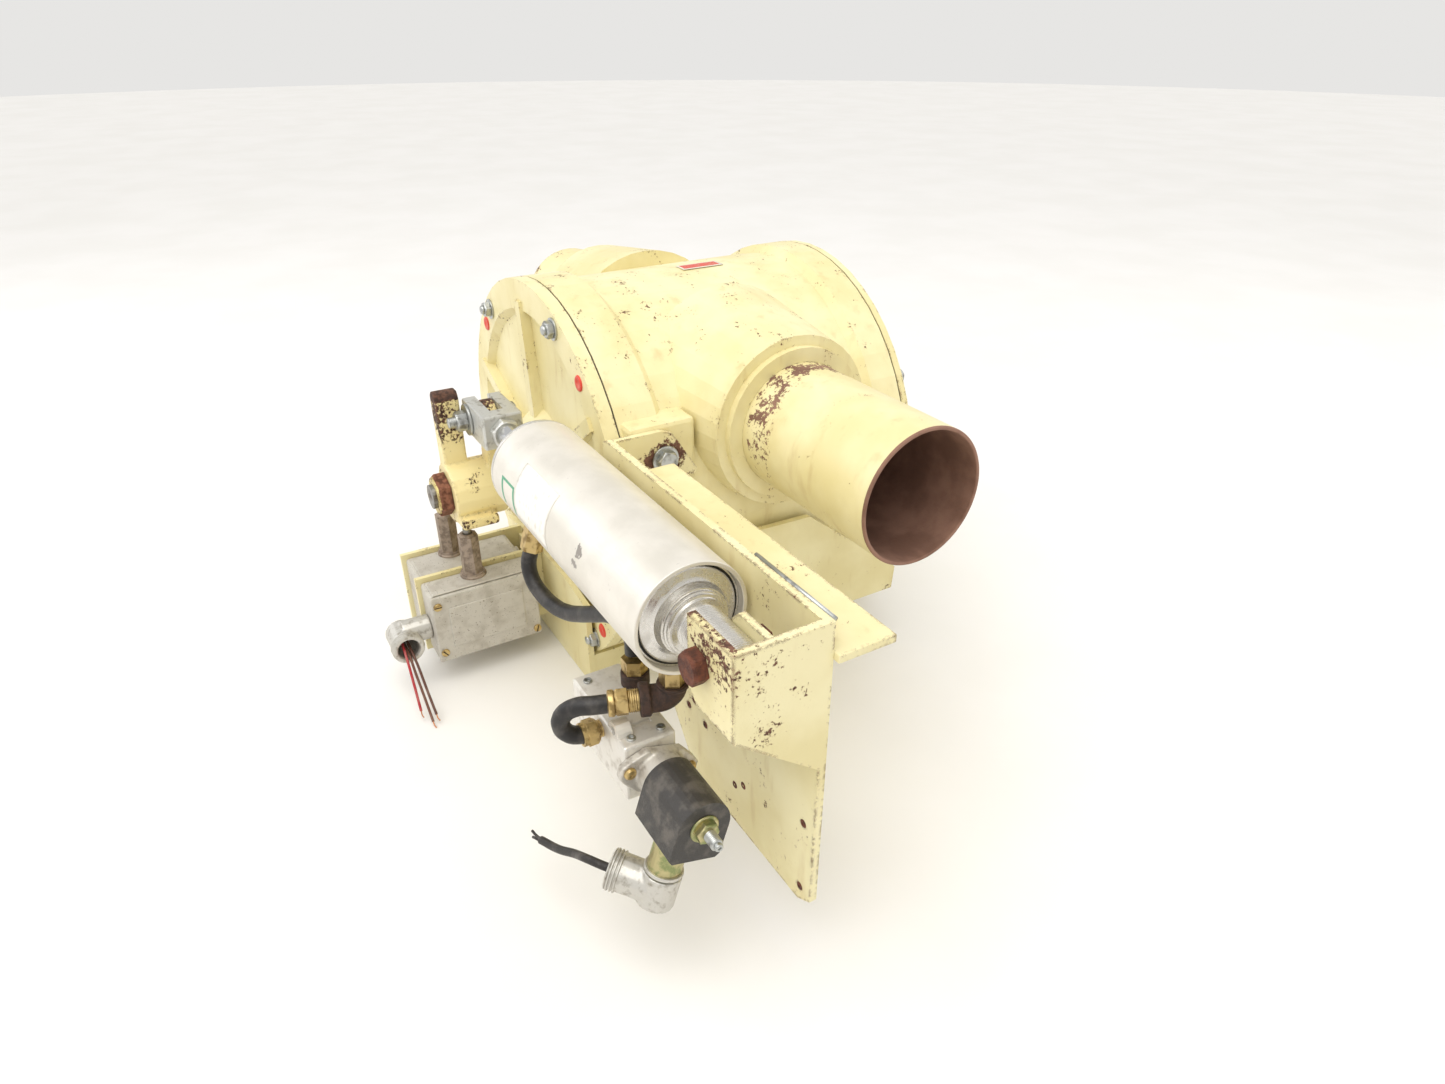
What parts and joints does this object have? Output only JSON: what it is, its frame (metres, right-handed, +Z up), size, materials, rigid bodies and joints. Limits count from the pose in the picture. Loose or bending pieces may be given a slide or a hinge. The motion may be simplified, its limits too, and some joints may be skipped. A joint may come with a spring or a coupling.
{
  "type": "pneumatic diverter valve",
  "caption": "Pneumatic two-way diverter valve for conveying pipe: cast drum body, crank lever, air cylinder, solenoid valve and limit switches.",
  "frame": {"origin": "on the floor under the middle of the drum, at the underside of the cradle's tie bar", "axes": "+X along the pipe towards the inlet stub, -Y the side with the crank lever and the air cylinder, +Z up along gravity"},
  "size_m": [0.8023, 0.533, 0.3874],
  "materials": {
    "cream_paint": "chipped satin enamel over iron",
    "lever_iron": "rusted, with worn cream paint",
    "rusty_steel": "rusted",
    "iron_fitting": "dark malleable iron",
    "zinc_plate": "zinc plated",
    "plain_steel": "turned, dull",
    "bright_rod": "hard chromed",
    "aluminium": "machined and anodised",
    "grey_casting": "grey enamel on die casting",
    "brass": "dull",
    "black_plastic": "moulded",
    "black_rubber": "smooth",
    "gasket_fibre": "pressed fibre",
    "red_sheath": "soft",
    "brown_sheath": "soft"
  },
  "bodies": {
    "root": {"valve_body": "cream_paint", "inlet_pipe": "cream_paint", "outlet_pipe": "cream_paint", "lower_outlet_pipe": "cream_paint", "front_cover": "cream_paint", "rear_cover": "cream_paint", "front_gasket": "gasket_fibre", "rear_gasket": "gasket_fibre", "front_bush": "brass", "rear_bush": "brass", "shaft_seal": "black_rubber", "actuator_bracket": "cream_paint", "inner_clevis_plate": "cream_paint", "shelf_strip": "cream_paint", "mount_plate": "cream_paint", "bracket_bolt": "zinc_plate", "tail_pivot_bolt": "rusty_steel", "tail_pivot_nut": "rusty_steel", "base_cradle": "cream_paint", "switch_bracket": "cream_paint", "switch_box_front": "grey_casting", "switch_cover_front": "grey_casting", "switch_box_rear": "grey_casting", "plunger_guide_front": "plain_steel", "plunger_guide_rear": "plain_steel", "switch_elbow": "zinc_plate", "wire_red": "red_sheath", "wire_brown_a": "brown_sheath", "wire_brown_b": "brown_sheath", "valve_block": "aluminium", "valve_adapter": "aluminium", "coil_housing": "black_plastic", "coil_stem": "plain_steel", "conduit_nipple": "zinc_plate", "cable_elbow": "zinc_plate", "coil_cable": "black_rubber", "elbow_rod_line": "iron_fitting", "hose_nut_rod_line": "brass", "hose_rod_line": "black_rubber", "hose_tail_line": "black_rubber"},
    "rotor": {"rotor_shaft": "plain_steel", "diverter_shoe": "iron_fitting", "crank_lever": "lever_iron", "shaft_nut": "rusty_steel"},
    "cylinder": {"cylinder_tube": "aluminium", "cylinder_front_cap": "aluminium", "cylinder_tail_cap": "aluminium", "rod_end_fitting": "brass", "tail_bushing": "brass", "elbow_tail_line": "iron_fitting", "hose_nut_tail_line": "brass"},
    "rod": {"piston_rod": "bright_rod", "piston": "aluminium", "rod_clevis": "zinc_plate", "rod_jam_nut": "zinc_plate", "clevis_pin": "zinc_plate", "clevis_washer": "zinc_plate", "clevis_nut": "zinc_plate"},
    "plunger_front": {"plunger_front": "plain_steel"},
    "plunger_rear": {"plunger_rear": "plain_steel"}
  },
  "joints": [
    {"name": "rotor_swing", "type": "hinge", "parent": "root", "child": "rotor", "pos_m": [0, 0, 0.195], "axis": [0, -1, 0], "range_deg": [0, 45]},
    {"name": "cylinder_tilt", "type": "hinge", "parent": "root", "child": "cylinder", "pos_m": [0.455, -0.219, 0.272], "axis": [0, -1, 0], "range_deg": [0, 1], "deforming": ["hose_rod_line", "hose_tail_line"]},
    {"name": "rod_extend", "type": "slide", "parent": "cylinder", "child": "rod", "axis": [-1, 0, 0], "range_m": [0, 0.06]},
    {"name": "plunger_front_press", "type": "slide", "parent": "root", "child": "plunger_front", "axis": [0, 0, 1], "range_m": [-0.004, 0], "stiffness_N_per_m": 300},
    {"name": "plunger_rear_press", "type": "slide", "parent": "root", "child": "plunger_rear", "axis": [0, 0, 1], "range_m": [-0.004, 0], "stiffness_N_per_m": 300}
  ],
  "couplings": [
    {"joint": "cylinder_tilt", "follows": "rotor_swing", "ratio": 0.0204},
    {"joint": "rod_extend", "follows": "rotor_swing", "m_per_rad": 0.0752}
  ]
}
